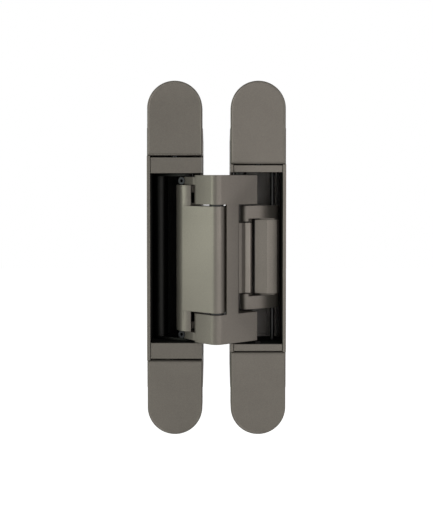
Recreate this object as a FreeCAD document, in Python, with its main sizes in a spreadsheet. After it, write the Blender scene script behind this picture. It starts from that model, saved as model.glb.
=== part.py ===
"""Concealed door hinge for flush doors: two mortised housings joined by two crossed arms and two links.

The hinge is modelled fully open, both faces in one plane. X runs across the two housings, from the
frame side to the door side, Y runs into the mortise, and Z runs up the hinge. Sizes are millimetres.

Sketches are drawn in hinge coordinates: X = 0 midway between the housings, Y = 0 on the visible faces
and Z = 0 at mid-height. Each piece is then placed so that the document's origin is the middle of the
frame housing's fixing holes, on the back of its end plates.
"""

import FreeCAD, Part
import Sketcher
from FreeCAD import Placement, Rotation, Vector

import math
import os

doc = FreeCAD.newDocument("concealed_hinge")

# Driving sizes. Each one is a size or a clearance of its own. Heights follow from the housing's
# length inwards, and places across the hinge from the gap and the housing's width outwards.

SIZES = {
    # housings
    "housing_length": 200.0,
    "housing_width": 31.0,
    "open_gap": 16.0,           # between the two housings with the hinge fully open
    "body_depth": 36.0,         # deep middle part of a housing
    "body_end_gap": 26.5,       # from the end of a housing to its deep part
    "body_taper": 7.5,          # the deep part is this much shorter at its back, each end
    "body_swell": 0.25,         # the deep part is this much wider than the caps, each side
    "body_edge_radius": 2.0,
    "end_depth": 13.0,          # shallow ends that take the fixing screws
    "side_wall": 1.6,
    "back_wall": 2.0,
    "bulkhead": 2.6,            # wall between the opening and the screw recess
    "notch_clearance": 2.0,     # the inner wall is cut down this far behind the arm barrels
    "door_notch_gap": 1.4,      # the door housing's wall is cut this far past the yoke
    "fixing_end_gap": 9.0,      # from the end of a housing to the outer fixing hole
    "fixing_spacing": 12.0,
    "fixing_bore": 5.2,
    "fixing_countersink": 9.6,
    # cover caps
    "frame_cap_length": 42.1,
    "frame_cap_gap": 1.0,       # between a cap and the carrier's end block
    "door_cap_gap": 0.6,
    "cap_plate": 2.0,
    "cap_bevel": 0.7,
    "cap_leg": 1.2,
    "cap_leg_length": 9.0,
    "cap_leg_reach": 3.6,
    # carriers, the inserts that hold the pivots
    "carrier_side_gap": 0.25,
    "carrier_front": 0.3,
    "carrier_floor": 1.8,
    "frame_block": 8.9,         # end blocks, along the hinge
    "door_block": 3.9,
    "rail_width": 1.7,
    "rail_rise": 7.2,           # in front of the floor
    "step_width": 5.9,
    "step_rise": 1.6,
    "bracket_clearance": 0.4,   # a bracket's eye is this much smaller than the arm's barrel
    "clamp_radius": 2.0,        # carrier screws
    "clamp_hole_gap": 0.15,
    "clamp_head_radius": 2.9,
    "clamp_head_gap": 0.1,      # from a screw head to the cap and to the floor of the recess
    "clamp_head": 3.4,
    "clamp_key": 2.5,
    "clamp_reach": 4.2,         # how far the thread enters the carrier
    # pivots
    "pivot_inset": 5.55,        # arm pivots, from the inner edge of a housing
    "pivot_depth": 12.6,
    "cross_pivot_rise": 5.85,   # the centre pin stands this far in front of the faces
    "link_eye_inset": 3.45,     # link pins, from the arm pivots
    "link_eye_rise": 3.6,
    "link_foot_inset": 4.75,    # foot pins, from the outer side of the carriers
    "link_foot_drop": 2.9,      # behind the arm pivots
    "foot_shift_x": 0.15,       # middle of the oversize foot bore, seen from the foot pin
    "foot_shift_y": 0.13,
    "arm_pin_radius": 2.5,
    "link_pin_radius": 1.7,
    "foot_pin_radius": 1.35,
    "foot_play": 1.4,           # the foot bores are this much larger than the pins, in radius
    "running_gap": 0.05,
    "pin_bevel": 0.3,
    "bush_wall": 0.6,
    "bush_length": 4.4,
    "pin_short": 0.2,           # a pin ends this much inside the piece that holds it
    "foot_pin_grip": 3.6,       # how deep the foot pins and yoke pins sit in the blocks
    # inner arm, carried by the frame housing
    "shoulder_inset": 0.85,     # middle of the round shoulder, from the arm pivot
    "shoulder_rise": 4.6,
    "shoulder_radius": 8.5,
    "arm_barrel_radius": 5.0,
    "knuckle_radius": 4.7,
    "slot": 6.0,                # slots that let the frame carrier's brackets in
    "bracket_side_gap": 0.3,
    "slot_margin": 0.4,         # from the yoke's window to the slots
    "link_eye_radius": 3.2,
    "tongue_side_gap": 0.5,     # between the tongue and the door link's lugs
    "tongue_clearance": 9.6,    # the arm is cut away this far around the link pin beside the tongue
    # yoke, carried by the door housing
    "yoke_lap": 1.0,            # the yoke is this much taller than its lugs, each end
    "yoke_knuckle_gap": 0.5,    # its knuckle is this much larger than the inner arm's, in radius
    "yoke_slope": 33.2,         # degrees between the yoke's long face and the housing faces
    "wing_reach": 9.65,         # outer corner of the long wing, from the door pivot
    "heel_reach": 4.85,
    "bar_near_x": 5.9,          # the bar, measured from the mid-plane
    "bar_far_x": 13.0,
    "bar_thickness": 3.4,
    "bar_edge_radius": 1.2,
    "bar_gap": 0.35,
    "bar_knuckle_gap": 0.45,
    "short_wing_x": 9.9,
    "short_wing_y": -1.5,
    "short_wing_radius": 2.5,
    "lug": 4.5,
    "lug_gap": 0.1,             # between the lugs and the inner arm's barrel
    "lug_elbow_x": 11.2,
    "lug_elbow_y": 0.2,
    "lug_elbow_radius": 3.0,
    "lug_eye_radius": 4.6,
    "washer": 0.8,
    "washer_inset": 0.7,        # the centre washers are this much smaller than the knuckle, in radius
    "thrust_washer": 1.4,
    "thrust_washer_wall": 1.2,
    "thrust_gap": 0.2,
    "lock_head_radius": 2.1,
    "lock_head": 1.4,
    "lock_seat": 0.4,           # depth of the flat that a lock screw's head sits on
    "lock_shank_radius": 1.0,
    "lock_key": 1.7,
    "lock_direction": 239.2,    # degrees, from the link pin towards the screw head
    # links
    "link_end_gap": 0.25,
    "frame_link_arm": 1.5,
    "frame_link_eye_radius": 3.6,
    "foot_wall": 0.85,
    "web_nose_inset": 2.6,      # nose of the frame link's web, from the foot pin
    "web_nose_drop": 2.7,
    "web_nose_radius": 1.6,
    "door_link_gap": 0.95,      # from the yoke's window to the door link
    "door_link_lug": 9.15,
    "lug_nose_shift": 0.6,      # round front of the door link's lugs, from the link pin
    "lug_nose_rise": 1.7,
    "fork_relief": 1.7,         # the lugs are this much thinner beside the block
    "heel_inset": 3.9,          # outer corner of the door link's flat heel, from the foot pin
    "heel_rise": 2.3,
    "heel_angle": 70.0,         # degrees, where the heel's face leaves the round foot
    "spine_nose_inset": 6.6,    # nose of the door link's spine, from the foot pin
    "spine_nose_rise": 1.5,
    "spine_nose_radius": 2.2,
    "block_end_gap": 0.9,
    "block_eye_gap": 1.2,       # between the block and the tongue's eye
    "block_left_rise": 3.6,     # corners of the block, from the foot pin
    "block_ridge_inset": 4.4,
    "block_ridge_rise": 7.8,
    "block_step_inset": 4.0,
    "block_step_rise": 6.1,
    "block_right_inset": 2.0,
    "block_right_rise": 3.3,
    "block_back_rise": 0.7,
    "block_back_bevel": 1.0,
}

sheet = doc.addObject("Spreadsheet::Sheet", "sizes")
for row, (alias, value) in enumerate(SIZES.items(), start=1):
    sheet.set(f"A{row}", alias)
    sheet.set(f"B{row}", str(value))
    sheet.setAlias(f"B{row}", alias)
doc.recompute()

FRAME, DOOR = -1, 1            # the side of the mid-plane that a piece belongs to
ENDS = (1, -1)                 # upper and lower half of the hinge

# Places across the hinge, from the plane midway between the housings, and depths
MIDDLE = "(sizes.housing_width + sizes.open_gap) / 2"
INNER_SIDE = "(sizes.open_gap / 2 + sizes.side_wall + sizes.carrier_side_gap)"
OUTER_SIDE = "(sizes.open_gap / 2 + sizes.housing_width - sizes.side_wall - sizes.carrier_side_gap)"
PIVOT_X, PIVOT_Y = "(sizes.open_gap / 2 + sizes.pivot_inset)", "sizes.pivot_depth"
FOOT_X, FOOT_Y = f"({OUTER_SIDE} - sizes.link_foot_inset)", "(sizes.pivot_depth + sizes.link_foot_drop)"
CARRIER_BACK = "(sizes.body_depth - sizes.back_wall)"
CARRIER_FLOOR = f"({CARRIER_BACK} - sizes.carrier_floor)"
NOTCH_DEPTH = "(sizes.pivot_depth + sizes.arm_barrel_radius + sizes.notch_clearance)"
CLAMP_DEPTH = "(sizes.cap_plate + sizes.clamp_head_gap + sizes.clamp_head_radius)"
RECESS_DEPTH = f"({CLAMP_DEPTH} + sizes.clamp_head_radius + sizes.clamp_head_gap)"

# Heights from mid-height, from the ends inwards
HALF = "sizes.housing_length / 2"
ROUND_CENTRE = f"({HALF} - sizes.housing_width / 2)"
BODY_HALF = f"({HALF} - sizes.body_end_gap)"
BODY_FOOT_HALF = f"({BODY_HALF} - sizes.body_taper)"
FIXING_FAR = f"({HALF} - sizes.fixing_end_gap)"
FIXING_NEAR = f"({FIXING_FAR} - sizes.fixing_spacing)"
FRAME_CAP_START = f"({HALF} - sizes.frame_cap_length)"
FRAME_BLOCK_END = f"({FRAME_CAP_START} - sizes.frame_cap_gap)"
FRAME_BLOCK_START = f"({FRAME_BLOCK_END} - sizes.frame_block)"
FRAME_LINK_HALF = f"({FRAME_BLOCK_START} - sizes.link_end_gap)"
FRAME_LINK_LOW = f"({FRAME_LINK_HALF} - sizes.frame_link_arm)"
LUG_HIGH = f"({FRAME_LINK_LOW} - sizes.link_end_gap)"
LUG_LOW = f"({LUG_HIGH} - sizes.lug)"
BARREL_HALF = f"({LUG_LOW} - sizes.lug_gap)"
SLOT_HIGH = f"({BARREL_HALF} - sizes.bush_length)"
SLOT_LOW = f"({SLOT_HIGH} - sizes.slot)"
WINDOW_HALF = f"({SLOT_LOW} - sizes.slot_margin)"
INNER_ARM_HALF = f"({WINDOW_HALF} - sizes.washer - 2 * sizes.running_gap)"
DOOR_LINK_HALF = f"({WINDOW_HALF} - sizes.door_link_gap)"
DOOR_LINK_LOW = f"({DOOR_LINK_HALF} - sizes.door_link_lug)"
TONGUE_HALF = f"({DOOR_LINK_LOW} - sizes.tongue_side_gap)"
FORK_HALF = f"({DOOR_LINK_LOW} + sizes.fork_relief)"
BLOCK_HALF = f"({FORK_HALF} - sizes.block_end_gap)"

# Heights outwards again on the door side
YOKE_HALF = f"({LUG_HIGH} + sizes.yoke_lap)"
DOOR_NOTCH_HALF = f"({YOKE_HALF} + sizes.door_notch_gap)"
DOOR_BLOCK_START = f"({YOKE_HALF} + sizes.thrust_gap + sizes.thrust_washer)"
DOOR_BLOCK_END = f"({DOOR_BLOCK_START} + sizes.door_block)"
DOOR_CAP_START = f"({DOOR_BLOCK_END} + sizes.door_cap_gap)"

# Radii
ARM_BORE = "(sizes.arm_pin_radius + sizes.running_gap)"
LINK_BORE = "(sizes.link_pin_radius + sizes.running_gap)"
ARM_BUSH = f"({ARM_BORE} + sizes.bush_wall)"
FOOT_BORE = "(sizes.foot_pin_radius + sizes.foot_play)"
FOOT_RADIUS = f"({FOOT_BORE} + sizes.foot_wall)"
YOKE_KNUCKLE = "(sizes.knuckle_radius + sizes.yoke_knuckle_gap)"
BRACKET_RADIUS = "(sizes.arm_barrel_radius - sizes.bracket_clearance)"
LOCK_SEAT = "(sizes.lug_eye_radius - sizes.lock_seat)"

# Pivots and other places of one side, as distances from the mid-plane and depths
PLACES = {
    "arm_pivot": (PIVOT_X, PIVOT_Y),
    "shoulder": (f"{PIVOT_X} + sizes.shoulder_inset", f"{PIVOT_Y} - sizes.shoulder_rise"),
    "link_eye": (f"{PIVOT_X} + sizes.link_eye_inset", f"{PIVOT_Y} - sizes.link_eye_rise"),
    "link_foot": (FOOT_X, FOOT_Y),
    "web_nose": (f"{FOOT_X} - sizes.web_nose_inset", f"{FOOT_Y} + sizes.web_nose_drop"),
    "spine_nose": (f"{FOOT_X} - sizes.spine_nose_inset", f"{FOOT_Y} - sizes.spine_nose_rise"),
    "short_wing": ("sizes.short_wing_x", "sizes.short_wing_y"),
    "lug_elbow": ("sizes.lug_elbow_x", "sizes.lug_elbow_y"),
    "lug_nose": (f"{PIVOT_X} + sizes.link_eye_inset - sizes.lug_nose_shift",
                 f"{PIVOT_Y} - sizes.link_eye_rise - sizes.lug_nose_rise"),
}

CROSS_PIVOT = ("0", "-sizes.cross_pivot_rise")


def value(expression):
    """Number that an expression of the sheet's sizes gives."""
    return float(sheet.evalExpression(expression))


ORIGIN = Vector(value(MIDDLE), -value("sizes.end_depth"), 0)


def times(factor, expression):
    return f"{factor} * ({expression})"


def point(side, name):
    """Place of a named pivot or centre on one side of the hinge."""
    x, y = PLACES[name]
    return times(side, x), y


def foot_bore(side):
    """Middle of the oversize bore at a link's foot."""
    return times(side, f"{FOOT_X} + sizes.foot_shift_x"), f"{FOOT_Y} + sizes.foot_shift_y"


# Bodies, sketches and features

pieces = []


def new_body(label):
    body = doc.addObject("PartDesign::Body", label)
    body.Label = label
    body.setExpression("Placement.Base.x", MIDDLE)
    body.setExpression("Placement.Base.y", "-sizes.end_depth")
    pieces.append(body)
    return body


def new_sketch(body, name, role, offset):
    sketch = body.newObject("Sketcher::SketchObject", name)
    plane = next(feature for feature in body.Origin.OriginFeatures if feature.Role == role)
    sketch.AttachmentSupport = [(plane, "")]
    sketch.MapMode = "FlatFace"
    sketch.setExpression("AttachmentOffset.Base.z", offset)
    return sketch


def bind(sketch, kind, *where, to):
    """Dimension of a sketch, driven by an expression."""
    index = sketch.addConstraint(Sketcher.Constraint(kind, *where, value(to)))
    sketch.setExpression(f"Constraints[{index}]", to)


def draw_disc(sketch, centre, radius):
    x, y = (value(place) for place in centre)
    circle = sketch.addGeometry(Part.Circle(Vector(x, y, 0), Vector(0, 0, 1), value(radius)), False)
    bind(sketch, "Radius", circle, to=radius)
    bind(sketch, "DistanceX", circle, 3, to=centre[0])
    bind(sketch, "DistanceY", circle, 3, to=centre[1])


def draw_belt(sketch, first, first_radius, second, second_radius):
    """Outline of a belt around two pulleys: two round ends and the straight sides that touch both."""
    (ax, ay), (bx, by) = ([value(place) for place in centre] for centre in (first, second))
    ra, rb = value(first_radius), value(second_radius)
    heading = math.atan2(by - ay, bx - ax)
    spread = math.acos((ra - rb) / math.hypot(bx - ax, by - ay))
    low, high = heading - spread, heading + spread

    def on_round(x, y, radius, angle):
        return Vector(x + radius * math.cos(angle), y + radius * math.sin(angle), 0)

    up = Vector(0, 0, 1)
    edges = sketch.addGeometry([
        Part.ArcOfCircle(Part.Circle(Vector(ax, ay, 0), up, ra), high, low + 2 * math.pi),
        Part.LineSegment(on_round(ax, ay, ra, low), on_round(bx, by, rb, low)),
        Part.ArcOfCircle(Part.Circle(Vector(bx, by, 0), up, rb), low, high),
        Part.LineSegment(on_round(bx, by, rb, high), on_round(ax, ay, ra, high)),
    ], False)
    for index, edge in enumerate(edges):
        sketch.addConstraint(Sketcher.Constraint("Tangent", edge, 2, edges[(index + 1) % 4], 1))
    for arc, centre, radius in ((edges[0], first, first_radius), (edges[2], second, second_radius)):
        bind(sketch, "Radius", arc, to=radius)
        bind(sketch, "DistanceX", arc, 3, to=centre[0])
        bind(sketch, "DistanceY", arc, 3, to=centre[1])


def draw_polygon(sketch, corners):
    """Closed outline with straight sides. A corner is a pair of expressions."""
    spots = [Vector(value(x), value(y), 0) for x, y in corners]
    lines = sketch.addGeometry(
        [Part.LineSegment(spot, spots[(index + 1) % len(spots)]) for index, spot in enumerate(spots)],
        False)
    for index, line in enumerate(lines):
        sketch.addConstraint(Sketcher.Constraint("Coincident", line, 2, lines[(index + 1) % len(lines)], 1))
    for line, (x, y) in zip(lines, corners):
        bind(sketch, "DistanceX", line, 1, to=x)
        bind(sketch, "DistanceY", line, 1, to=y)


def draw_rectangle(sketch, left, right, bottom, top):
    draw_polygon(sketch, [(left, bottom), (right, bottom), (right, top), (left, top)])


def extrude(body, name, kind, draw, role, start, length):
    sketch = new_sketch(body, f"{name}_sketch", role, start)
    draw(sketch)
    feature = body.newObject(kind, name)
    feature.Profile = sketch
    feature.setExpression("Length", length)
    sketch.Visibility = False
    before = body.Shape.Volume if kind == "PartDesign::Pocket" else 0.0
    doc.recompute()
    if kind == "PartDesign::Pocket" and before - body.Shape.Volume < 1e-3:
        raise RuntimeError(f"{body.Label}: {name} cuts nothing")
    return feature


def pad_up(body, name, draw, low, high):
    """Material between two heights, drawn as seen along the pins."""
    return extrude(body, name, "PartDesign::Pad", draw, "XY_Plane", low, f"({high}) - ({low})")


def cut_up(body, name, draw, low, high):
    return extrude(body, name, "PartDesign::Pocket", draw, "XY_Plane", high, f"({high}) - ({low})")


def pad_in(body, name, draw, front, back):
    """Material between two depths, drawn as seen from the front."""
    return extrude(body, name, "PartDesign::Pad", draw, "XZ_Plane", times(-1, back),
                   f"({back}) - ({front})")


def cut_in(body, name, draw, front, back):
    return extrude(body, name, "PartDesign::Pocket", draw, "XZ_Plane", times(-1, front),
                   f"({back}) - ({front})")


def span(end, low, high):
    """Lower and upper limit of a stretch that is given for the upper half of the hinge."""
    return (low, high) if end > 0 else (times(-1, high), times(-1, low))


def both_ways(expression):
    return times(-1, expression), expression


def across(side, near, far):
    """Left and right limit of a stretch given by its distances from the mid-plane."""
    return (near, far) if side > 0 else (times(-1, far), times(-1, near))


def disc(centre, radius):
    return lambda sketch: draw_disc(sketch, centre, radius)


def belt(first, first_radius, second, second_radius):
    return lambda sketch: draw_belt(sketch, first, first_radius, second, second_radius)


def polygon(corners):
    return lambda sketch: draw_polygon(sketch, corners)


def rectangle(x_limits, y_limits):
    return lambda sketch: draw_rectangle(sketch, *x_limits, *y_limits)


def end_name(end):
    return "upper" if end > 0 else "lower"


def edges_where(shape, test):
    return [f"Edge{index}" for index, edge in enumerate(shape.Edges, start=1) if test(edge)]


def dress(body, name, kind, size_property, size, test):
    """Bevel or rounding of the body's edges that pass a test."""
    base = body.Tip
    feature = body.newObject(kind, name)
    feature.Base = (base, edges_where(base.Shape, test))
    feature.setExpression(size_property, size)
    doc.recompute()
    return feature


# Pins, sleeves and screws

def pin(body, name, centre, radius, low, high):
    pad_up(body, name, disc(centre, radius), low, high)
    dress(body, f"{name}_bevel", "PartDesign::Chamfer", "Size", "sizes.pin_bevel",
          lambda edge: isinstance(edge.Curve, Part.Circle) and edge.isClosed())


def group(label, members):
    """Equal pieces that share one node."""
    for member in members:
        pieces.remove(member)
    compound = doc.addObject("Part::Compound", label)
    compound.Label = label
    compound.Links = members
    pieces.append(compound)


def pin_pair(label, centre, radius, low, high):
    members = []
    for end in ENDS:
        member = new_body(f"{label}_{end_name(end)}")
        pin(member, "shank", centre, radius, *span(end, low, high))
        members.append(member)
    group(label, members)


def ring_pair(label, centre, outer, inner, low, high):
    members = []
    for end in ENDS:
        member = new_body(f"{label}_{end_name(end)}")
        limits = span(end, low, high)
        pad_up(member, "ring", disc(centre, outer), *limits)
        cut_up(member, "bore", disc(centre, inner), *limits)
        members.append(member)
    group(label, members)


def socket_screw(label, head_radius, head, shank_radius, shank, key, placement):
    """Socket screw along Z, seated at Z = 0 with its head above."""
    def sized(kind, name, **sizes):
        solid = doc.addObject(kind, f"{label}_{name}")
        for prop, expression in sizes.items():
            solid.setExpression(prop, expression)
        return solid

    head_solid = sized("Part::Cylinder", "head", Radius=head_radius, Height=head)
    shank_solid = sized("Part::Cylinder", "shank", Radius=shank_radius, Height=shank)
    shank_solid.setExpression("Placement.Base.z", times(-1, shank))
    socket = sized("Part::Prism", "socket", Circumradius=f"({key}) / cos(30 deg) / 2", Height=head)
    socket.setExpression("Placement.Base.z", f"({head}) / 3")
    blank = doc.addObject("Part::Fuse", f"{label}_blank")
    blank.Base, blank.Tool = head_solid, shank_solid
    screw = doc.addObject("Part::Cut", label)
    screw.Base, screw.Tool = blank, socket
    screw.Label = label
    screw.Placement = placement
    pieces.append(screw)
    return screw


def carrier_screws(side, label, cap_start, carrier_end):
    """The pair of screws that holds a carrier in its housing, one at each end."""
    members = []
    for end in ENDS:
        seat = end * value(f"{cap_start} + sizes.bulkhead")
        spot = ORIGIN + Vector(side * value(MIDDLE), value(CLAMP_DEPTH), seat)
        turn = Rotation() if end > 0 else Rotation(Vector(1, 0, 0), 180)
        members.append(socket_screw(
            f"{label}_{end_name(end)}", "sizes.clamp_head_radius", "sizes.clamp_head",
            "sizes.clamp_radius",
            f"{cap_start} + sizes.bulkhead - {carrier_end} + sizes.clamp_reach",
            "sizes.clamp_key", Placement(spot, turn)))
    group(label, members)


# Housings and caps

def housing(side, label, cap_start, notch_half):
    """Cast housing: shallow ends for the fixing screws, and a deep open box between them."""
    centre = times(side, MIDDLE)
    half = "sizes.housing_width / 2"
    swell = f"({half} + sizes.body_swell)"
    inside = f"({half} - sizes.side_wall)"
    body = new_body(label)

    def centred(width):
        return f"{centre} - {width}", f"{centre} + {width}"

    pad_in(body, "end_plate", rectangle(centred(f"({half})"), both_ways(ROUND_CENTRE)),
           "sizes.cap_plate", "sizes.end_depth")
    for end in ENDS:
        pad_in(body, f"{end_name(end)}_round", disc((centre, times(end, ROUND_CENTRE)), half),
               "sizes.cap_plate", "sizes.end_depth")

    flank = [("sizes.cap_plate", f"-{BODY_HALF}"), ("sizes.end_depth", f"-{BODY_HALF}"),
             ("sizes.body_depth", f"-{BODY_FOOT_HALF}"), ("sizes.body_depth", BODY_FOOT_HALF),
             ("sizes.end_depth", BODY_HALF), ("sizes.cap_plate", BODY_HALF)]
    extrude(body, "deep_body", "PartDesign::Pad", polygon(flank), "YZ_Plane",
            f"{centre} - {swell}", times(2, swell))
    depth = value("sizes.body_depth")
    dress(body, "back_edges", "PartDesign::Fillet", "Radius", "sizes.body_edge_radius",
          lambda edge: all(abs(vertex.Y - depth) < 1e-3 for vertex in edge.Vertexes))

    pad_in(body, "rim", rectangle(centred(swell), both_ways(cap_start)), "0", "sizes.cap_plate")
    cut_in(body, "opening", rectangle(centred(inside), both_ways(cap_start)), "0", CARRIER_BACK)
    inner_edge = "sizes.open_gap / 2"
    cut_in(body, "arm_notch",
           rectangle(across(side, f"{inner_edge} - 2 * sizes.body_swell",
                            f"{inner_edge} + sizes.side_wall + sizes.body_swell"),
                     both_ways(notch_half)), "0", NOTCH_DEPTH)

    recess_start = f"({cap_start} + sizes.bulkhead)"
    for end in ENDS:
        name = end_name(end)
        limits = span(end, recess_start, ROUND_CENTRE)
        cut_in(body, f"{name}_recess", rectangle(centred(inside), limits),
               "sizes.cap_plate", RECESS_DEPTH)
        cut_in(body, f"{name}_recess_round", disc((centre, times(end, ROUND_CENTRE)), inside),
               "sizes.cap_plate", RECESS_DEPTH)
        cut_up(body, f"{name}_screw_hole",
               disc((centre, CLAMP_DEPTH), "sizes.clamp_radius + sizes.clamp_hole_gap"),
               *span(end, cap_start, recess_start))

    holes = new_sketch(body, "fixing_sketch", "XZ_Plane", f"-{RECESS_DEPTH}")
    for end in ENDS:
        for place in (FIXING_NEAR, FIXING_FAR):
            draw_disc(holes, (centre, times(end, place)), "sizes.fixing_bore / 2")
    doc.recompute()
    hole = body.newObject("PartDesign::Hole", "fixing_holes")
    hole.Profile = holes
    hole.DepthType = "ThroughAll"
    hole.setExpression("Diameter", "sizes.fixing_bore")
    hole.HoleCutType = "Countersink"
    hole.setExpression("HoleCutDiameter", "sizes.fixing_countersink")
    hole.HoleCutCountersinkAngle = 90
    holes.Visibility = False
    doc.recompute()
    return body


def cap(side, end, label, cap_start):
    """Cover cap over one end of a housing, with two spring legs."""
    centre = times(side, MIDDLE)
    half = "sizes.housing_width / 2"
    inside = f"({half} - sizes.side_wall)"
    body = new_body(label)
    pad_in(body, "plate", rectangle((f"{centre} - {half}", f"{centre} + {half}"),
                                    span(end, cap_start, ROUND_CENTRE)), "0", "sizes.cap_plate")
    pad_in(body, "round_end", disc((centre, times(end, ROUND_CENTRE)), half), "0", "sizes.cap_plate")
    dress(body, "bevel", "PartDesign::Chamfer", "Size", "sizes.cap_bevel",
          lambda edge: all(abs(vertex.Y) < 1e-3 for vertex in edge.Vertexes))
    for hand in (-1, 1):
        wall, leg = times(hand, inside), times(hand, f"{inside} - sizes.cap_leg")
        sides = (f"{centre} + {leg}", f"{centre} + {wall}")
        pad_in(body, f"leg_{'near' if hand < 0 else 'far'}",
               rectangle(sides if hand > 0 else sides[::-1],
                         span(end, f"{ROUND_CENTRE} - sizes.cap_leg_length", ROUND_CENTRE)),
               "sizes.cap_plate", "sizes.cap_plate + sizes.cap_leg_reach")
    return body


# Carriers

def carrier(side, label, block_start, block_end):
    """Insert of a housing: end blocks, floor, and the rails beside the outer wall."""
    body = new_body(label)
    pad_in(body, "floor", rectangle(across(side, INNER_SIDE, OUTER_SIDE), both_ways(block_end)),
           CARRIER_FLOOR, CARRIER_BACK)
    rail = f"({OUTER_SIDE} - sizes.rail_width)"
    pad_in(body, "rail", rectangle(across(side, rail, OUTER_SIDE), both_ways(block_start)),
           f"{CARRIER_FLOOR} - sizes.rail_rise", CARRIER_FLOOR)
    pad_in(body, "step", rectangle(across(side, f"{rail} - sizes.step_width", rail), both_ways(block_start)),
           f"{CARRIER_FLOOR} - sizes.step_rise", CARRIER_FLOOR)
    for end in ENDS:
        name = end_name(end)
        pad_in(body, f"{name}_block",
               rectangle(across(side, INNER_SIDE, OUTER_SIDE), span(end, block_start, block_end)),
               "sizes.carrier_front", CARRIER_FLOOR)
        cut_up(body, f"{name}_screw_thread", disc((times(side, MIDDLE), CLAMP_DEPTH), "sizes.clamp_radius"),
               *span(end, f"{block_end} - sizes.clamp_reach", block_end))
        cut_up(body, f"{name}_foot_bore", disc(point(side, "link_foot"), "sizes.foot_pin_radius"),
               *span(end, block_start, f"{block_start} + sizes.foot_pin_grip"))
    return body


def frame_carrier():
    """Carrier of the frame housing, with the two brackets that hold the inner arm's pin."""
    pivot = point(FRAME, "arm_pivot")
    body = carrier(FRAME, "frame_carrier", FRAME_BLOCK_START, FRAME_BLOCK_END)
    for end in ENDS:
        name = end_name(end)
        pad_in(body, f"{name}_lip",
               rectangle(across(FRAME, "sizes.open_gap / 2 + sizes.carrier_side_gap", INNER_SIDE),
                         span(end, FRAME_BLOCK_START, FRAME_BLOCK_END)),
               "sizes.carrier_front", f"{NOTCH_DEPTH} - sizes.carrier_side_gap")
        limits = span(end, f"{SLOT_LOW} + sizes.bracket_side_gap", f"{SLOT_HIGH} - sizes.bracket_side_gap")
        pad_up(body, f"{name}_bracket",
               rectangle(across(FRAME, INNER_SIDE, f"{PIVOT_X} + {BRACKET_RADIUS}"),
                         (PIVOT_Y, CARRIER_FLOOR)), *limits)
        pad_up(body, f"{name}_bracket_eye", disc(pivot, BRACKET_RADIUS), *limits)
        cut_up(body, f"{name}_bracket_bore", disc(pivot, "sizes.arm_pin_radius"), *limits)
    return body


def door_carrier():
    """Carrier of the door housing, bored for the two short pins that the yoke turns on."""
    body = carrier(DOOR, "door_carrier", DOOR_BLOCK_START, DOOR_BLOCK_END)
    for end in ENDS:
        cut_up(body, f"{end_name(end)}_yoke_bore", disc(point(DOOR, "arm_pivot"), "sizes.arm_pin_radius"),
               *span(end, DOOR_BLOCK_START, f"{DOOR_BLOCK_START} + sizes.foot_pin_grip"))
    return body


# Arms

def yoke_face(along):
    """Point on the yoke's long face, this far across the hinge from the mid-plane."""
    slope, radius = "(sizes.yoke_slope * 1 deg)", YOKE_KNUCKLE
    touch_x = f"{radius} * sin({slope})"
    return along, f"(({along}) - {touch_x}) * tan({slope}) - sizes.cross_pivot_rise - {radius} * cos({slope})"


def behind_face(along, depth):
    """Point behind a point of the yoke's long face, square to the face."""
    slope = "(sizes.yoke_slope * 1 deg)"
    x, y = yoke_face(along)
    return f"{x} - ({depth}) * sin({slope})", f"{y} + ({depth}) * cos({slope})"


def inner_arm():
    """Cast arm that turns in the frame housing, crosses the yoke and ends in a tongue."""
    pivot, shoulder, eye = point(FRAME, "arm_pivot"), point(FRAME, "shoulder"), point(DOOR, "link_eye")
    main = both_ways(INNER_ARM_HALF)
    knuckle, barrel = "sizes.knuckle_radius", "sizes.arm_barrel_radius"
    body = new_body("inner_arm")

    pad_up(body, "face_plate", belt(shoulder, "sizes.shoulder_radius", CROSS_PIVOT, knuckle), *main)
    pad_up(body, "back_plate", belt(pivot, barrel, CROSS_PIVOT, knuckle), *main)
    pad_up(body, "shoulder", belt(shoulder, "sizes.shoulder_radius", pivot, barrel),
           *both_ways(BARREL_HALF))
    pad_up(body, "reach", belt(CROSS_PIVOT, knuckle, eye, "sizes.link_eye_radius"), *main)

    # The reach stays behind the yoke's bar
    bar_back = "sizes.bar_thickness + sizes.bar_gap"
    far = f"2 * {PIVOT_X}"
    cut_up(body, "bar_relief", polygon([behind_face("0", bar_back), yoke_face("0"),
                                        yoke_face(far), behind_face(far, bar_back)]), *main)
    pad_up(body, "knuckle", disc(CROSS_PIVOT, knuckle), *main)
    pad_up(body, "tongue_eye", disc(eye, "sizes.link_eye_radius"), *both_ways(TONGUE_HALF))

    for end in ENDS:
        name = end_name(end)
        cut_up(body, f"{name}_tongue_side", disc(eye, "sizes.tongue_clearance"),
               *span(end, TONGUE_HALF, INNER_ARM_HALF))
        above = span(end, INNER_ARM_HALF, BARREL_HALF)
        cut_up(body, f"{name}_barrel_trim",
               rectangle(across(FRAME, "0", f"{PIVOT_X} + sizes.shoulder_inset"),
                         ("-sizes.shoulder_radius", f"{PIVOT_Y} + 2 * sizes.arm_barrel_radius")),
               *above)
        pad_up(body, f"{name}_barrel", disc(pivot, barrel), *above)
        slot = span(end, SLOT_LOW, SLOT_HIGH)
        cut_up(body, f"{name}_bracket_slot",
               rectangle(across(FRAME, "0", f"2 * {FOOT_X}"),
                         (f"{PIVOT_Y} - sizes.arm_barrel_radius", CARRIER_FLOOR)), *slot)
        cut_up(body, f"{name}_bush_seat", disc(pivot, ARM_BUSH), *span(end, SLOT_HIGH, BARREL_HALF))

    cut_up(body, "pivot_bore", disc(pivot, ARM_BORE), *both_ways(SLOT_LOW))
    cut_up(body, "cross_bore", disc(CROSS_PIVOT, ARM_BORE), *main)
    cut_up(body, "tongue_bore", disc(eye, LINK_BORE), *both_ways(TONGUE_HALF))
    return body


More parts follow.
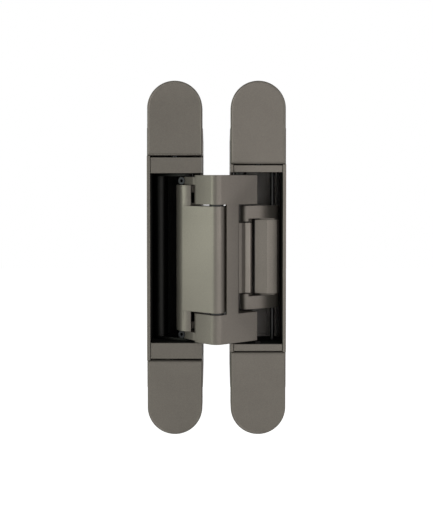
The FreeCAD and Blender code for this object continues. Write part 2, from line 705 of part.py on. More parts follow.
def yoke_arm():
    """Cast window-shaped arm that turns in the door housing and embraces the inner arm."""
    pivot, elbow, eye = point(DOOR, "arm_pivot"), point(FRAME, "lug_elbow"), point(FRAME, "link_eye")
    knuckle, barrel = YOKE_KNUCKLE, "sizes.arm_barrel_radius"
    window = both_ways(WINDOW_HALF)
    slope = "(sizes.yoke_slope * 1 deg)"
    touch = (f"{knuckle} * sin({slope})", f"-sizes.cross_pivot_rise - {knuckle} * cos({slope})")
    near, far = "sizes.bar_near_x", "sizes.bar_far_x"
    body = new_body("yoke_arm")

    pad_up(body, "bar", polygon([yoke_face(near), yoke_face(far), behind_face(far, "sizes.bar_thickness"),
                                 behind_face(near, "sizes.bar_thickness")]), *window)
    far_x, far_y = (value(place) for place in yoke_face(far))
    dress(body, "bar_edge", "PartDesign::Fillet", "Radius", "sizes.bar_edge_radius",
          lambda edge: all(math.hypot(vertex.X - far_x, vertex.Y - far_y) < 1e-3 for vertex in edge.Vertexes))
    cut_up(body, "knuckle_clearance",
           disc(CROSS_PIVOT, "sizes.knuckle_radius + sizes.bar_knuckle_gap"), *window)
    for end in ENDS:
        name = end_name(end)
        limits = span(end, WINDOW_HALF, YOKE_HALF)
        pad_up(body, f"{name}_long_wing",
               polygon([touch, yoke_face(f"{PIVOT_X} + sizes.wing_reach"),
                        (f"{PIVOT_X} + sizes.heel_reach", PIVOT_Y), pivot, CROSS_PIVOT]), *limits)
        pad_up(body, f"{name}_back", belt(CROSS_PIVOT, knuckle, pivot, barrel), *limits)
        pad_up(body, f"{name}_short_wing",
               belt(CROSS_PIVOT, knuckle, point(FRAME, "short_wing"), "sizes.short_wing_radius"), *limits)
        lug = span(end, LUG_LOW, LUG_HIGH)
        pad_up(body, f"{name}_lug", belt(CROSS_PIVOT, knuckle, elbow, "sizes.lug_elbow_radius"), *lug)
        pad_up(body, f"{name}_lug_eye",
               belt(elbow, "sizes.lug_elbow_radius", eye, "sizes.lug_eye_radius"), *lug)
        cut_up(body, f"{name}_lug_bore", disc(eye, "sizes.link_pin_radius"), *lug)
        cut_up(body, f"{name}_bush_seat", disc(pivot, ARM_BUSH), *limits)
        cut_up(body, f"{name}_cross_bore", disc(CROSS_PIVOT, "sizes.arm_pin_radius"), *limits)
        lock_hole(body, f"{name}_lock", end)
    return body


def lock_axis(end, distance):
    """Place on a lock screw's axis, this far from the link pin, and the turn that lays Z along it."""
    x, y = (value(place) for place in point(FRAME, "link_eye"))
    angle = math.radians(value("sizes.lock_direction"))
    outward = Vector(math.cos(angle), math.sin(angle), 0)
    height = end * value(f"({LUG_LOW} + {LUG_HIGH}) / 2")
    return Vector(x, y, height) + outward * distance, Rotation(Vector(0, 0, 1), outward)


def lock_hole(body, name, end):
    """Hole for a lock screw, with a flat for its head."""
    for part, start, radius in (("hole", "sizes.link_pin_radius", "sizes.lock_shank_radius"),
                                ("seat", LOCK_SEAT, "sizes.lock_head_radius + sizes.running_gap")):
        spot, turn = lock_axis(end, value(start))
        cutter = body.newObject("PartDesign::SubtractiveCylinder", f"{name}_{part}")
        cutter.setExpression("Radius", radius)
        cutter.setExpression("Height", "sizes.lug_eye_radius")
        cutter.Placement = Placement(spot, turn)
        doc.recompute()


def lock_screws():
    """Small screws in the yoke's lugs that keep the link pins from turning."""
    members = []
    for end in ENDS:
        spot, turn = lock_axis(end, value(LOCK_SEAT))
        members.append(socket_screw(
            f"lug_lock_screw_{end_name(end)}", "sizes.lock_head_radius", "sizes.lock_head",
            "sizes.lock_shank_radius", f"{LOCK_SEAT} - sizes.link_pin_radius - sizes.pin_short",
            "sizes.lock_key", Placement(ORIGIN + spot, turn)))
    group("lug_lock_screws", members)


# Links

def frame_link():
    """Tall link between the yoke's lugs and the frame carrier. Its foot bore is oversize."""
    foot, eye = foot_bore(FRAME), point(FRAME, "link_eye")
    body = new_body("frame_link")
    pad_up(body, "foot", belt(foot, FOOT_RADIUS, point(FRAME, "web_nose"), "sizes.web_nose_radius"),
           *both_ways(FRAME_LINK_HALF))
    for end in ENDS:
        limits = span(end, FRAME_LINK_LOW, FRAME_LINK_HALF)
        pad_up(body, f"{end_name(end)}_arm",
               belt(eye, "sizes.frame_link_eye_radius", foot, FOOT_RADIUS), *limits)
        cut_up(body, f"{end_name(end)}_eye", disc(eye, LINK_BORE), *limits)
    cut_up(body, "foot_bore", disc(foot, FOOT_BORE), *both_ways(FRAME_LINK_HALF))
    return body


def door_link():
    """Forked link between the inner arm's tongue and the door carrier. Its foot bore is oversize."""
    foot, eye, nose = foot_bore(DOOR), point(DOOR, "link_eye"), point(DOOR, "lug_nose")
    radius = "sizes.link_eye_radius"
    body = new_body("door_link")
    pad_up(body, "spine", belt(foot, FOOT_RADIUS, point(DOOR, "spine_nose"), "sizes.spine_nose_radius"),
           *both_ways(DOOR_LINK_HALF))
    turn = "(sizes.heel_angle * 1 deg)"
    heel = f"{FOOT_X} + sizes.heel_inset"
    pad_up(body, "heel", polygon([
        foot, (f"{foot[0]} + {FOOT_RADIUS} * cos({turn})", f"{foot[1]} - {FOOT_RADIUS} * sin({turn})"),
        (heel, f"{FOOT_Y} - sizes.heel_rise"), (heel, foot[1])]), *both_ways(BLOCK_HALF))
    for end in ENDS:
        name, limits = end_name(end), span(end, DOOR_LINK_LOW, DOOR_LINK_HALF)
        thin = span(end, FORK_HALF, DOOR_LINK_HALF)
        pad_up(body, f"{name}_eye_lug", belt(nose, radius, eye, radius), *limits)
        pad_up(body, f"{name}_front_lug", belt(nose, radius, foot, FOOT_RADIUS), *thin)
        pad_up(body, f"{name}_back_lug", belt(eye, radius, foot, FOOT_RADIUS), *thin)
        cut_up(body, f"{name}_eye", disc(eye, "sizes.link_pin_radius"), *limits)
    cut_up(body, "foot_bore", disc(foot, FOOT_BORE), *both_ways(DOOR_LINK_HALF))
    return body


def door_link_block():
    """Block that fills the fork of the door link, with a ridge down its front."""
    limits = both_ways(BLOCK_HALF)
    left = f"{PLACES['link_eye'][0]} + sizes.link_eye_radius + sizes.block_eye_gap"
    ridge = f"{FOOT_X} - sizes.block_ridge_inset"
    back = f"{FOOT_Y} - sizes.block_back_rise"
    body = new_body("door_link_block")
    pad_up(body, "block", polygon([
        (left, f"{FOOT_Y} - sizes.block_left_rise"),
        (ridge, f"{FOOT_Y} - sizes.block_ridge_rise"),
        (f"{FOOT_X} - sizes.block_step_inset", f"{FOOT_Y} - sizes.block_step_rise"),
        (f"{FOOT_X} - sizes.block_right_inset", f"{FOOT_Y} - sizes.block_right_rise"),
        (ridge, back), (f"{left} + sizes.block_back_bevel", back)]), *limits)
    cut_up(body, "spine_seat", belt(foot_bore(DOOR), FOOT_RADIUS,
                                    point(DOOR, "spine_nose"), "sizes.spine_nose_radius"), *limits)
    return body


# The hinge

for side, name, start, notch, carrier_end in (
        (FRAME, "frame", FRAME_CAP_START, FRAME_CAP_START, FRAME_BLOCK_END),
        (DOOR, "door", DOOR_CAP_START, DOOR_NOTCH_HALF, DOOR_BLOCK_END)):
    housing(side, f"{name}_housing", start, notch)
    for end in ENDS:
        cap(side, end, f"{name}_{end_name(end)}_cap", start)
    carrier_screws(side, f"{name}_carrier_screws", start, carrier_end)

frame_carrier()
door_carrier()
inner_arm()
yoke_arm()
frame_link()
door_link()
door_link_block()
lock_screws()

pin(new_body("inner_arm_pin"), "shank", point(FRAME, "arm_pivot"), "sizes.arm_pin_radius",
    *both_ways(f"{BARREL_HALF} - sizes.pin_short"))
pin(new_body("centre_pin"), "shank", CROSS_PIVOT, "sizes.arm_pin_radius",
    *both_ways(f"{YOKE_HALF} - sizes.pin_short"))
pin(new_body("door_link_pin"), "shank", point(DOOR, "link_eye"), "sizes.link_pin_radius",
    *both_ways(f"{DOOR_LINK_HALF} - sizes.pin_short"))
pin(new_body("frame_foot_pin"), "shank", point(FRAME, "link_foot"), "sizes.foot_pin_radius",
    *both_ways(f"{FRAME_BLOCK_START} + sizes.foot_pin_grip - sizes.pin_short"))
pin(new_body("door_foot_pin"), "shank", point(DOOR, "link_foot"), "sizes.foot_pin_radius",
    *both_ways(f"{DOOR_BLOCK_START} + sizes.foot_pin_grip - sizes.pin_short"))
pin_pair("yoke_pivot_pins", point(DOOR, "arm_pivot"), "sizes.arm_pin_radius",
         f"{WINDOW_HALF} + sizes.pin_short", f"{DOOR_BLOCK_START} + sizes.foot_pin_grip - sizes.pin_short")
pin_pair("yoke_lug_pins", point(FRAME, "link_eye"), "sizes.link_pin_radius",
         f"{LUG_LOW} + sizes.pin_short", f"{FRAME_LINK_HALF} - sizes.pin_short / 2")
ring_pair("inner_arm_bushes", point(FRAME, "arm_pivot"), ARM_BUSH, ARM_BORE, SLOT_HIGH, BARREL_HALF)
ring_pair("yoke_bushes", point(DOOR, "arm_pivot"), ARM_BUSH, ARM_BORE, WINDOW_HALF, YOKE_HALF)
ring_pair("centre_washers", CROSS_PIVOT, "sizes.knuckle_radius - sizes.washer_inset", ARM_BORE,
          f"{INNER_ARM_HALF} + sizes.running_gap", f"{WINDOW_HALF} - sizes.running_gap")
ring_pair("yoke_thrust_washers", point(DOOR, "arm_pivot"), "sizes.arm_pin_radius + sizes.thrust_washer_wall",
          "sizes.arm_pin_radius", f"{DOOR_BLOCK_START} - sizes.thrust_washer", DOOR_BLOCK_START)

doc.recompute()

# Check the document and write one file for each piece

for item in doc.Objects:
    if "Invalid" in item.State or "Error" in item.State:
        raise RuntimeError(f"{item.Label} failed: {item.State}")

os.makedirs("parts", exist_ok=True)
for piece in pieces:
    shape = piece.Shape
    if not shape.isValid() or shape.Volume <= 0:
        raise RuntimeError(f"{piece.Label} has no valid solid")
    shape.exportStep(f"parts/{piece.Label}.step")
    print(f"{piece.Label}: {len(shape.Solids)} solid(s), {shape.Volume:.1f} mm3")
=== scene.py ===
# %% [markdown]
# # A concealed door hinge, laid open
#
# The hinge has two cast housings that are let into the frame and the door, and two crossed arms that
# swing out of them. The model of its pieces is loaded first, at its real size and in its real place.
# This lesson gives those pieces their soft cast edges and their finishes, and then sets up the
# studio and the camera.

import math

import bmesh
import bpy
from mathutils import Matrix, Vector


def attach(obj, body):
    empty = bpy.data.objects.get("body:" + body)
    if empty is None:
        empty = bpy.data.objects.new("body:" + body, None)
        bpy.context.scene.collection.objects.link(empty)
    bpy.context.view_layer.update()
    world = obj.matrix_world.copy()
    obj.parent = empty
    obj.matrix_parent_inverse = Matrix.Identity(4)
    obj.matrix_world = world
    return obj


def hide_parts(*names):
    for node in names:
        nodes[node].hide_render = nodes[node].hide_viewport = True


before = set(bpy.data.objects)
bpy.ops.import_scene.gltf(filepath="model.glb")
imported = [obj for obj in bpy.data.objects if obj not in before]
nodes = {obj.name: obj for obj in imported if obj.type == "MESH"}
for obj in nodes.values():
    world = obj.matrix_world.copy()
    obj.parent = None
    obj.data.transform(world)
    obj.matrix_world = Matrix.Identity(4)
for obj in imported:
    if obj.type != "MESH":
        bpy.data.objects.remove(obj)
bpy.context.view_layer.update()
scene = bpy.context.scene
MM = 0.001

# %% [markdown]
# ## Node helpers
#
# A finish is a small tree of nodes. A few short helpers keep such trees readable: one adds a node and
# fills its inputs, and the others make a noise, spread a pattern over a new range, do sums and mix
# two colours. Object coordinates are in metres here and stay with the piece when the hinge moves.

# %% Node helpers
NOISE_RANGE = (0.3, 0.7)     # noise seldom goes past these


def add_node(tree, kind, inputs=None, **settings):
    node = tree.nodes.new(kind)
    for name, setting in settings.items():
        setattr(node, name, setting)
    for name, source in (inputs or {}).items():
        if isinstance(source, bpy.types.NodeSocket):
            tree.links.new(source, node.inputs[name])
        else:
            node.inputs[name].default_value = source
    return node


def noise(tree, coordinates, size, detail=2.0):
    """Noise whose blobs are about this size, in millimetres."""
    return add_node(tree, "ShaderNodeTexNoise",
                    {"Vector": coordinates, "Scale": 1 / (size * MM), "Detail": detail}).outputs["Fac"]


def spread(tree, pattern, low, high, to_low=0.0, to_high=1.0):
    """The pattern between low and high, spread from to_low to to_high."""
    return add_node(tree, "ShaderNodeMapRange",
                    {"Value": pattern, "From Min": low, "From Max": high,
                     "To Min": to_low, "To Max": to_high}).outputs["Result"]


def sums(tree, operation, *terms):
    return add_node(tree, "ShaderNodeMath", dict(enumerate(terms)), operation=operation).outputs[0]


def mix_colours(tree, factor, first, second):
    node = add_node(tree, "ShaderNodeMix", {"Factor": factor}, data_type="RGBA")
    sockets = [socket for socket in node.inputs if socket.type == "RGBA"]
    for socket, source in zip(sockets, (first, second)):
        if isinstance(source, bpy.types.NodeSocket):
            tree.links.new(source, socket)
        else:
            socket.default_value = (*source, 1.0)
    return next(socket for socket in node.outputs if socket.type == "RGBA")


def scaled(colour, factor):
    return tuple(channel * factor for channel in colour)


def lighter_and_darker(tree, pattern, colour, share):
    """The colour made darker and lighter by this share, where the pattern is 0 and 1."""
    return mix_colours(tree, pattern, scaled(colour, 1 - share), scaled(colour, 1 + share))


def new_finish(name):
    material = bpy.data.materials.new(name)
    material.use_nodes = True
    tree = material.node_tree
    place = add_node(tree, "ShaderNodeTexCoord").outputs["Object"]
    return material, tree, tree.nodes["Principled BSDF"], place


def add_relief(tree, shader, pattern, strength, height):
    bump = add_node(tree, "ShaderNodeBump", {"Strength": strength, "Distance": height, "Height": pattern})
    tree.links.new(bump.outputs["Normal"], shader.inputs["Normal"])


print("the noise is read from", NOISE_RANGE[0], "to", NOISE_RANGE[1])

# %% [markdown]
# ## The black inside of the pockets, and painted shade
#
# The pockets are dark inside. A piece that reaches into a pocket and shows paint at its front, such
# as a housing, a carrier or the yoke, turns black a little way behind the faces, and takes another tone
# on the floor of the pocket. On the carriers and the yoke this black is painted shade, and on the
# housings it is partly a black coat and partly painted shade. Two materials on one casting would need
# a cut in its mesh, so the paint itself makes the change. It follows the depth, which is the Y of the
# object coordinates, and keeps to the pocket's own box, so the outside and the back stay painted.

# %% The black inside of the pockets, and painted shade
FACES = -13.0 * MM                       # depth of the visible faces
BACK_INSIDE = 22.0 * MM                  # inside the back wall of the housings
POCKET_FLOOR = (11.0 * MM, 14.0 * MM)    # the tone changes to that of the floor over this depth
WALL_INSIDE = 14.05 * MM                 # half-width of a pocket, with a hair of its wall
FRAME_POCKET = (0.0, 57.6 * MM)          # its middle and half its height
DOOR_POCKET = (47.0 * MM, 52.9 * MM)


def pocket_black_and_shade(tree, place, pocket, turns_black):
    """1 deep in the pocket and 0 at its faces and outside, and how far the place is down on the
    pocket's floor. The paint turns black between two depths behind the faces."""
    middle, half_height = pocket
    start, end = turns_black
    axes = add_node(tree, "ShaderNodeSeparateXYZ", {"Vector": place}).outputs
    off_middle = sums(tree, "ABSOLUTE", sums(tree, "SUBTRACT", axes["X"], middle))
    within = sums(tree, "MULTIPLY", sums(tree, "LESS_THAN", off_middle, WALL_INSIDE),
                  sums(tree, "LESS_THAN", axes["Y"], BACK_INSIDE))
    level = sums(tree, "LESS_THAN", sums(tree, "ABSOLUTE", axes["Z"]), half_height)
    # the turn to black is painted shade on the carriers and the yoke, and partly painted shade on the
    # housings
    depth = spread(tree, axes["Y"], FACES + start, FACES + end)
    mask = sums(tree, "MULTIPLY", sums(tree, "MULTIPLY", within, level), depth)
    return mask, spread(tree, axes["Y"], *POCKET_FLOOR)


print(f"the pockets are {2 * WALL_INSIDE / MM:.1f} mm wide")

# %% [markdown]
# ## Satin metallic paint
#
# The castings have a grey paint with metal flake in it. Close to, it is a fine grain of lighter and
# darker specks under a satin surface, and over a whole face the tone drifts a little. So the colour
# is mixed twice, by a fine noise for the flake and by a wide one for the drift. The same fine noise,
# through a Bump node, gives the slight orange peel of powder paint.

# %% Satin metallic paint
FLAKE_SIZE, DRIFT_SIZE = 0.28, 28.0      # in millimetres
FLAKE_RANGE = (0.32, 0.68)
FLAKE_TONE, DRIFT_TONE = 0.13, 0.05      # shares by which the colour gets lighter and darker
GRIT = 0.05                              # how far the roughness goes up and down
ORANGE_PEEL = (0.12, 0.03 * MM)          # strength and height
# black of the pockets, partly a black coat and partly painted shade
BLACK = (0.018, 0.018, 0.017)


def satin_paint(name, colour, pocket=None, turns_black=None, floor=BLACK, roughness=0.40, metallic=0.7):
    material, tree, shader, place = new_finish(name)
    flake = noise(tree, place, FLAKE_SIZE, detail=1.5)
    drift = noise(tree, place, DRIFT_SIZE)
    grain = lighter_and_darker(tree, spread(tree, flake, *FLAKE_RANGE), colour, FLAKE_TONE)
    tone = spread(tree, drift, *NOISE_RANGE, 1 - DRIFT_TONE, 1 + DRIFT_TONE)
    paint = add_node(tree, "ShaderNodeHueSaturation", {"Color": grain, "Value": tone}).outputs["Color"]
    grit = spread(tree, flake, *NOISE_RANGE, roughness - GRIT, roughness + GRIT)
    shader.inputs["Metallic"].default_value = metallic
    # deep in a pocket the paint turns black: painted shade, on the housings partly a black coat
    if pocket:
        mask, down = pocket_black_and_shade(tree, place, pocket, turns_black)
        paint = mix_colours(tree, mask, paint, mix_colours(tree, down, BLACK, floor))
        grit = sums(tree, "MAXIMUM", grit, mask)
        tree.links.new(spread(tree, mask, 0.0, 1.0, metallic, 1.0), shader.inputs["Metallic"])
    tree.links.new(paint, shader.inputs["Base Color"])
    tree.links.new(grit, shader.inputs["Roughness"])
    add_relief(tree, shader, flake, *ORANGE_PEEL)
    return material


print(f"the flake is {FLAKE_SIZE} mm across and the tone drifts over {DRIFT_SIZE} mm")

# %% Paints of the castings
GREY = (0.175, 0.159, 0.139)
DULL = (0.06, 0.06, 0.058)               # floor of the frame's pocket
BARE = (0.6, 0.585, 0.57)                # floor of the door's pocket
# the black is painted shade on the carriers and the yoke, and partly painted shade on the housings
HOUSING_BLACK_AND_SHADE = (0.3 * MM, 2.0 * MM)     # depths behind the faces where each turns black
CARRIER_SHADE = (0.9 * MM, 3.0 * MM)
YOKE_SHADE = (4.0 * MM, 6.5 * MM)

finishes = {
    "housing_frame": satin_paint("housing paint, frame", GREY, FRAME_POCKET, HOUSING_BLACK_AND_SHADE, DULL),
    "housing_door": satin_paint("housing paint, door", GREY, DOOR_POCKET, HOUSING_BLACK_AND_SHADE, BARE),
    "cap": satin_paint("cap paint", GREY),
    # the carriers take the grey a little darker: painted shade
    "carrier_frame": satin_paint("carrier paint with painted shade, frame", scaled(GREY, 0.92), FRAME_POCKET,
                                 CARRIER_SHADE, DULL),
    "carrier_door": satin_paint("carrier paint with painted shade, door", scaled(GREY, 0.98), DOOR_POCKET,
                                CARRIER_SHADE, BARE),
    # the inner arm takes the grey a little lighter: painted light
    "inner_arm": satin_paint("inner arm paint with painted light", scaled(GREY, 1.08)),
    "yoke": satin_paint("yoke paint with painted shade", GREY, FRAME_POCKET, YOKE_SHADE),
    # the door link takes the grey a little darker: painted shade
    "link": satin_paint("link paint", scaled(GREY, 0.92)),
    # the block and the nose take the grey much lighter: painted light deep in the pocket
    "block": satin_paint("block paint with painted light", scaled(GREY, 1.4)),
    "dark_link": satin_paint("dark link paint", (0.020, 0.020, 0.019), roughness=0.45, metallic=1.0),
}
print("paints:", ", ".join(finishes))

# %% [markdown]
# ## Steel, oxide and plastic
#
# The pins are ground steel, so fine scratches run round them. The screws are black oxide, which is
# dark and glossy. The bushes and washers are black plastic with a faint mould grain. None of them
# shows much, because they sit inside the arms, but they catch a small light here and there.

# %% Steel, oxide and plastic
SCRATCH_STRETCH = (0.15, 0.15, 6.0)      # long round an upright pin, and fine along it
SCRATCH_RELIEF = (0.1, 0.02 * MM)        # strength and height
STEEL_TONE, STEEL_SMOOTHER, STEEL_ROUGHER = 0.2, 0.06, 0.08
MOULD_GRAIN, PLASTIC_TONE = 0.15, 0.3    # the grain in millimetres
PLASTIC_ROUGHNESS = (0.4, 0.6)


def ground_steel(name, colour, roughness, scratch):
    """Steel whose scratches are this wide, in millimetres."""
    material, tree, shader, place = new_finish(name)
    drawn = add_node(tree, "ShaderNodeMapping", {"Vector": place, "Scale": SCRATCH_STRETCH})
    lines = noise(tree, drawn.outputs["Vector"], scratch, detail=3.0)
    tree.links.new(lighter_and_darker(tree, lines, colour, STEEL_TONE), shader.inputs["Base Color"])
    grit = spread(tree, lines, *NOISE_RANGE, roughness - STEEL_SMOOTHER, roughness + STEEL_ROUGHER)
    tree.links.new(grit, shader.inputs["Roughness"])
    add_relief(tree, shader, lines, *SCRATCH_RELIEF)
    shader.inputs["Metallic"].default_value = 1.0
    return material


def moulded_plastic(name, colour):
    material, tree, shader, place = new_finish(name)
    grain = noise(tree, place, MOULD_GRAIN)
    tree.links.new(lighter_and_darker(tree, grain, colour, PLASTIC_TONE), shader.inputs["Base Color"])
    tree.links.new(spread(tree, grain, *NOISE_RANGE, *PLASTIC_ROUGHNESS), shader.inputs["Roughness"])
    return material


finishes["pin"] = ground_steel("dark pin steel", (0.05, 0.05, 0.05), 0.34, 0.5)
finishes["washer"] = ground_steel("washer steel", (0.06, 0.06, 0.06), 0.4, 0.6)
finishes["screw"] = ground_steel("black oxide", (0.018, 0.018, 0.02), 0.2, 0.4)
finishes["plastic"] = moulded_plastic("black acetal", (0.018, 0.018, 0.018))
print("finishes:", len(finishes))

# %% [markdown]
# ## Soft cast edges
#
# A die casting has no knife edges, and paint rounds them further, so each edge shows as a thin bright
# line. The loaded meshes are loose triangles with sharp edges. A copy of each is welded, its flat
# faces are dissolved into single faces, and a Bevel modifier rounds its outer edges by a fraction of a
# millimetre. Inner corners are left as they are, because a bevel there would add metal where another
# piece moves. The copy then stands for the piece that it was made from. The caps have a rounder edge
# than their plain chamfer, so their front face draws in and the old corner sinks a little.

# %% Round the outer edges
EDGE_STEPS = 2               # segments of a rounded edge


def soft_piece(name, mesh, shape, finish, body, width, sharp, inner_corners=True):
    """A piece of this shape whose outer edges above the sharp angle, in degrees, are rounded by
    width. A piece without inner corners is rounded by the angle alone."""
    open_edges = sum(1 for edge in shape.edges if not edge.is_manifold)
    weights = shape.edges.layers.float.new("bevel_weight_edge")
    for edge in shape.edges:
        corner = edge.is_manifold and edge.is_convex and edge.calc_face_angle() > math.radians(sharp)
        edge[weights] = 1.0 if corner else 0.0
    for face in shape.faces:
        face.smooth = True
    shape.to_mesh(mesh)
    faces = len(shape.faces)
    shape.free()
    mesh.set_sharp_from_angle(angle=math.radians(sharp))
    piece = bpy.data.objects.new(name, mesh)
    scene.collection.objects.link(piece)
    bevel = piece.modifiers.new("soft edges", "BEVEL")
    bevel.width = width * MM
    bevel.segments = EDGE_STEPS
    bevel.limit_method = "WEIGHT" if inner_corners else "ANGLE"
    bevel.angle_limit = math.radians(sharp)
    bevel.use_clamp_overlap = False
    bevel.harden_normals = True
    mesh.materials.clear()
    mesh.materials.append(finishes[finish])
    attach(piece, body)
    print(f"{name}: {faces} faces, {open_edges} open edges")
    return piece


# %% Soften the castings
WELD = 0.002                             # points closer than this are one, in millimetres
FLAT = 0.5                               # faces that meet at less than this are one, in degrees
CAST_SHARP, CAP_SHARP = 22.0, 15.0       # edges above these are rounded, in degrees
CAP_BORDER, CAP_DROP = 0.5, 0.22         # in millimetres
FACING_FRONT = -0.99                     # Y of the normal of a front face, at most


def round_over(shape, border, drop):
    """Widen the chamfer round the front face to a rounding: the face draws in by border and the old
    edge sinks by drop, in millimetres."""
    front = max((face for face in shape.faces if face.normal.y < FACING_FRONT),
                key=lambda face: face.calc_area())
    rim = list(front.verts)
    bmesh.ops.inset_region(shape, faces=[front], thickness=border * MM, use_even_offset=True)
    for vertex in rim:
        vertex.co.y += drop * MM
    shape.normal_update()


def soften(node, finish, slot, body, width):
    """Let a copy of a loaded piece with its outer edges rounded by width, in millimetres, stand for
    the piece."""
    mesh = nodes[node].data.copy()
    mesh.name = f"{node}_cast"
    shape = bmesh.new()
    shape.from_mesh(mesh)
    bmesh.ops.remove_doubles(shape, verts=shape.verts, dist=WELD * MM)
    bmesh.ops.dissolve_limit(shape, angle_limit=math.radians(FLAT), use_dissolve_boundaries=False,
                             verts=shape.verts, edges=shape.edges)
    is_cap = node.endswith("cap")
    if is_cap:
        round_over(shape, CAP_BORDER, CAP_DROP)
    sharp = CAP_SHARP if is_cap else CAST_SHARP
    piece = soft_piece(f"{node}_cast", mesh, shape, finish, body, width, sharp, not is_cap)
    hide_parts(node)


CASTINGS = [
    # node, finish, slot in the record, body, edge radius in millimetres
    ("frame_housing", "housing_frame", "housing_paint", "frame", 0.25),
    ("door_housing", "housing_door", "housing_paint", "door", 0.25),
    ("frame_upper_cap", "cap", "cap_paint", "frame", 0.26),
    ("frame_lower_cap", "cap", "cap_paint", "frame", 0.26),
    ("door_upper_cap", "cap", "cap_paint", "door", 0.26),
    ("door_lower_cap", "cap", "cap_paint", "door", 0.26),
    ("frame_carrier", "carrier_frame", "carrier_paint", "frame", 0.2),
    ("door_carrier", "carrier_door", "carrier_paint", "door", 0.2),
    ("inner_arm", "inner_arm", "inner_arm_paint", "inner_arm", 0.25),
    ("yoke_arm", "yoke", "yoke_paint", "yoke", 0.25),
    ("frame_link", "dark_link", "dark_link_paint", "frame_link", 0.15),
    ("door_link", "link", "link_paint", "door_link", 0.2),
]
for casting in CASTINGS:
    soften(*casting)

# %% [markdown]
# ## The block in the fork and the nose of the tongue
#
# In the right pocket stands a fork on the tongue of the inner arm. The block in the fork has a low
# ridge down the middle of its front. The tongue ends in a flat nose with one round corner. Both have
# the same outline over their whole height, so each is a flat outline that is drawn once and extruded.
# The block's back wraps the round edge of the fork, and the nose is sunk into the tongue a little.

# %% Extruded outlines
RIDGE_SHARP = 10.0           # the ridge is low, so a gentle angle counts as an edge here
OUTLINE_EDGE = 0.2           # edge radius in millimetres


def arc(centre, radius, start, end, steps=12):
    """Points on a circle, from one angle to another in degrees."""
    turns = [math.radians(start + (end - start) * step / steps) for step in range(steps + 1)]
    return [(centre[0] + radius * math.cos(turn), centre[1] + radius * math.sin(turn)) for turn in turns]


def prism(name, outline, half_height, finish, body):
    """The outline, seen from above and in millimetres, extruded both ways from mid-height."""
    shape = bmesh.new()
    corners = [shape.verts.new((x * MM, y * MM, -half_height * MM)) for x, y in outline]
    base = shape.faces.new(corners)
    grown = bmesh.ops.extrude_face_region(shape, geom=[base])["geom"]
    moved = [part for part in grown if isinstance(part, bmesh.types.BMVert)]
    bmesh.ops.translate(shape, verts=moved, vec=Vector((0.0, 0.0, 2 * half_height * MM)))
    bmesh.ops.recalc_face_normals(shape, faces=shape.faces)
    mesh = bpy.data.meshes.new(name)
    return soft_piece(name, mesh, shape, finish, body, OUTLINE_EDGE, RIDGE_SHARP)


# %% The block and the nose
BLOCK_HALF_HEIGHT, NOSE_HALF_HEIGHT = 21.3, 19.95
BLOCK = [
    (46.5, 1.8), (45.5, -1.3),                   # left side
    (52.8, -2.1),                                # crest of the ridge
    (58.4, -1.2), (59.3, -0.4), (59.7, 0.1),     # right edge
    (57.4, -0.6), (54.5, -0.9),                  # back
    *arc((49.3, 1.0), 2.1, -90.0, -200.0),       # hollow round the edge of the fork
]
NOSE = [
    (39.82, -9.2),                               # left end of the flat nose
    *arc((42.1, -8.1), 1.1, -90.0, 0.0),         # its round corner
    (43.4, -5.4), (42.9, -5.2),                  # right side
    (42.3, -6.3), (39.6, -8.9),                  # back, sunk into the tongue
]
# both take the lighter block paint, which is painted light
block = prism("door_link_block_cast", BLOCK, BLOCK_HALF_HEIGHT, "block", "door_link")
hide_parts("door_link_block")
prism("inner_arm_nose", NOSE, NOSE_HALF_HEIGHT, "block", "inner_arm")

# %% [markdown]
# ## Finishes of the small pieces
#
# The pins, bushes, washers and screws keep their loaded shapes, because each already has its own
# bevels. Only the material in their slots changes.

# %% Finishes of the small pieces
SMALL = {
    "pin": ("inner_arm_pin", "centre_pin", "door_link_pin", "frame_foot_pin", "door_foot_pin",
            "yoke_pivot_pins", "yoke_lug_pins"),
    "washer": ("yoke_thrust_washers",),
    "screw": ("frame_carrier_screws", "door_carrier_screws", "lug_lock_screws"),
    "plastic": ("inner_arm_bushes", "yoke_bushes", "centre_washers"),
}
for finish, names in SMALL.items():
    for name in names:
        for material_slot in nodes[name].material_slots:
            material_slot.material = finishes[finish]
print("small pieces:", sum(len(names) for names in SMALL.values()))

# %% [markdown]
# ## Studio
#
# The hinge is shown on plain white with soft light and no strong shadow. A pale floor lies below it.
# The camera, the glossy rays and the transmission rays see a white world behind the hinge, while the
# light that the world casts stays dim, so the paint isn't washed out. The room in front is darker, as
# behind a photographer, and four large soft lamps stand in it. The two beside the camera light the
# flat faces and reach down into the pockets. The left one gives the arms' left faces their pale
# greenish tone, and the right one gives the light band down each round knuckle.

# %% Floor
FLOOR_LEVEL, FLOOR_HALF = -0.17, 1.5
FLOOR_SEEN, FLOOR_MIRRORED = 0.75, 0.2   # glow of the floor, straight and in a mirror


def ray_kinds(tree):
    """1 on rays that come from the camera or through a piece, and 1 on mirrored rays."""
    rays = add_node(tree, "ShaderNodeLightPath").outputs
    straight = sums(tree, "MAXIMUM", rays["Is Camera Ray"], rays["Is Transmission Ray"])
    return straight, rays["Is Glossy Ray"]


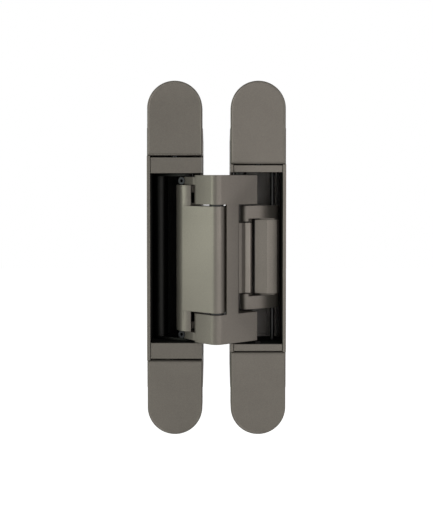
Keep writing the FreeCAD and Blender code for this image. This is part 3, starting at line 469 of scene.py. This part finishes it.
floor_shape = bmesh.new()
bmesh.ops.create_grid(floor_shape, x_segments=1, y_segments=1, size=FLOOR_HALF)
bmesh.ops.translate(floor_shape, verts=floor_shape.verts, vec=Vector((0.0, 0.0, FLOOR_LEVEL)))
floor_mesh = bpy.data.meshes.new("floor")
floor_shape.to_mesh(floor_mesh)
floor_shape.free()
floor = bpy.data.objects.new("floor", floor_mesh)
scene.collection.objects.link(floor)
floor_finish, floor_tree, floor_shader, _ = new_finish("pale floor")
floor_shader.inputs["Base Color"].default_value = (0.9, 0.9, 0.9, 1.0)
floor_shader.inputs["Roughness"].default_value = 0.9
floor_shader.inputs["Specular IOR Level"].default_value = 0.1
floor_shader.inputs["Emission Color"].default_value = (1.0, 1.0, 1.0, 1.0)
straight, mirrored = ray_kinds(floor_tree)
floor_glow = sums(floor_tree, "MAXIMUM", sums(floor_tree, "MULTIPLY", straight, FLOOR_SEEN),
                  sums(floor_tree, "MULTIPLY", mirrored, FLOOR_MIRRORED))
floor_tree.links.new(floor_glow, floor_shader.inputs["Emission Strength"])
floor_mesh.materials.append(floor_finish)
print("floor at z =", FLOOR_LEVEL)

# %% World
ROOM_LIGHT = (0.16, 0.5)                 # light of the room in front, and behind the hinge
ROOM_MIRRORED = (0.16, 1.0)
ROOM_TURNS = (-0.2, 0.4)                 # directions along Y between which one gives way to the other

scene.view_settings.view_transform = "Standard"
world = bpy.data.worlds.new("studio")
scene.world = world
world.use_nodes = True
sky = world.node_tree
background = sky.nodes["Background"]
background.inputs["Color"].default_value = (1.0, 1.0, 1.0, 1.0)
looking = add_node(sky, "ShaderNodeTexCoord").outputs["Generated"]
along_y = add_node(sky, "ShaderNodeSeparateXYZ", {"Vector": looking}).outputs["Y"]
behind = spread(sky, along_y, *ROOM_TURNS)
straight, mirrored = ray_kinds(sky)
room = sums(sky, "MAXIMUM", spread(sky, behind, 0.0, 1.0, *ROOM_LIGHT),
            sums(sky, "MULTIPLY", mirrored, spread(sky, behind, 0.0, 1.0, *ROOM_MIRRORED)))
sky.links.new(sums(sky, "MAXIMUM", room, straight), background.inputs["Strength"])
print("light of the room:", ROOM_LIGHT)

# %% Lamps
MIDDLE = Vector((DOOR_POCKET[0] / 2, FACES, 0.0))
LAMPS = [
    # name, place, size, power in watts, tint
    ("front", (0.26, -0.93, 0.1), (0.45, 0.6), 1.4, (1.0, 0.98, 0.97)),
    ("fill", (-0.42, -0.85, 0.05), (0.5, 0.8), 0.9, (0.97, 1.0, 0.95)),
    ("left", (-0.72, -0.46, 0.1), (0.4, 0.9), 3.4, (0.92, 1.0, 0.88)),
    ("right", (0.62, -0.55, 0.1), (0.4, 0.9), 2.1, (1.0, 0.96, 0.96)),
]


def soft_lamp(name, place, size, power, tint):
    """A large lamp at this place, turned to the middle of the hinge."""
    data = bpy.data.lights.new(name, "AREA")
    data.shape = "RECTANGLE"
    data.size, data.size_y = size
    data.energy = power
    data.color = tint
    lamp = bpy.data.objects.new(name, data)
    scene.collection.objects.link(lamp)
    lamp.location = place
    lamp.rotation_euler = (MIDDLE - Vector(place)).to_track_quat("-Z", "Y").to_euler()


for lamp in LAMPS:
    soft_lamp(*lamp)

# %% [markdown]
# ## Camera
#
# The photograph was taken from about half a metre, straight in front and a little above the middle:
# the inner sides of both housings show by the same thin strip. The edges of the housings stay almost
# upright, which a lens that is shifted down gives. The place and the focal length were worked out
# from the corners of the housings in the photograph.

# %% Camera
PICTURE = (433, 516)
FOCAL_PIXELS = 891.9
HORIZON_ROW = 196.0          # row of the picture that the lens axis meets
SENSOR = 36.0
DISTANCE, HEIGHT = 0.5016, 0.04852       # from the faces, and above mid-height
TILT = 1.521                 # degrees below level

camera_data = bpy.data.cameras.new("camera")
camera = bpy.data.objects.new("camera", camera_data)
scene.collection.objects.link(camera)
camera_data.sensor_width = SENSOR
camera_data.lens = SENSOR * FOCAL_PIXELS / max(PICTURE)
camera_data.shift_y = -(PICTURE[1] / 2 - HORIZON_ROW) / max(PICTURE)
camera.location = MIDDLE + Vector((0.0, -DISTANCE, HEIGHT))
camera.rotation_euler = (math.radians(90 - TILT), 0.0, 0.0)
camera_data.clip_start = 0.01
camera_data.clip_end = 10.0
scene.camera = camera
print(f"lens {camera_data.lens:.1f} mm, shift {camera_data.shift_y:.3f}")
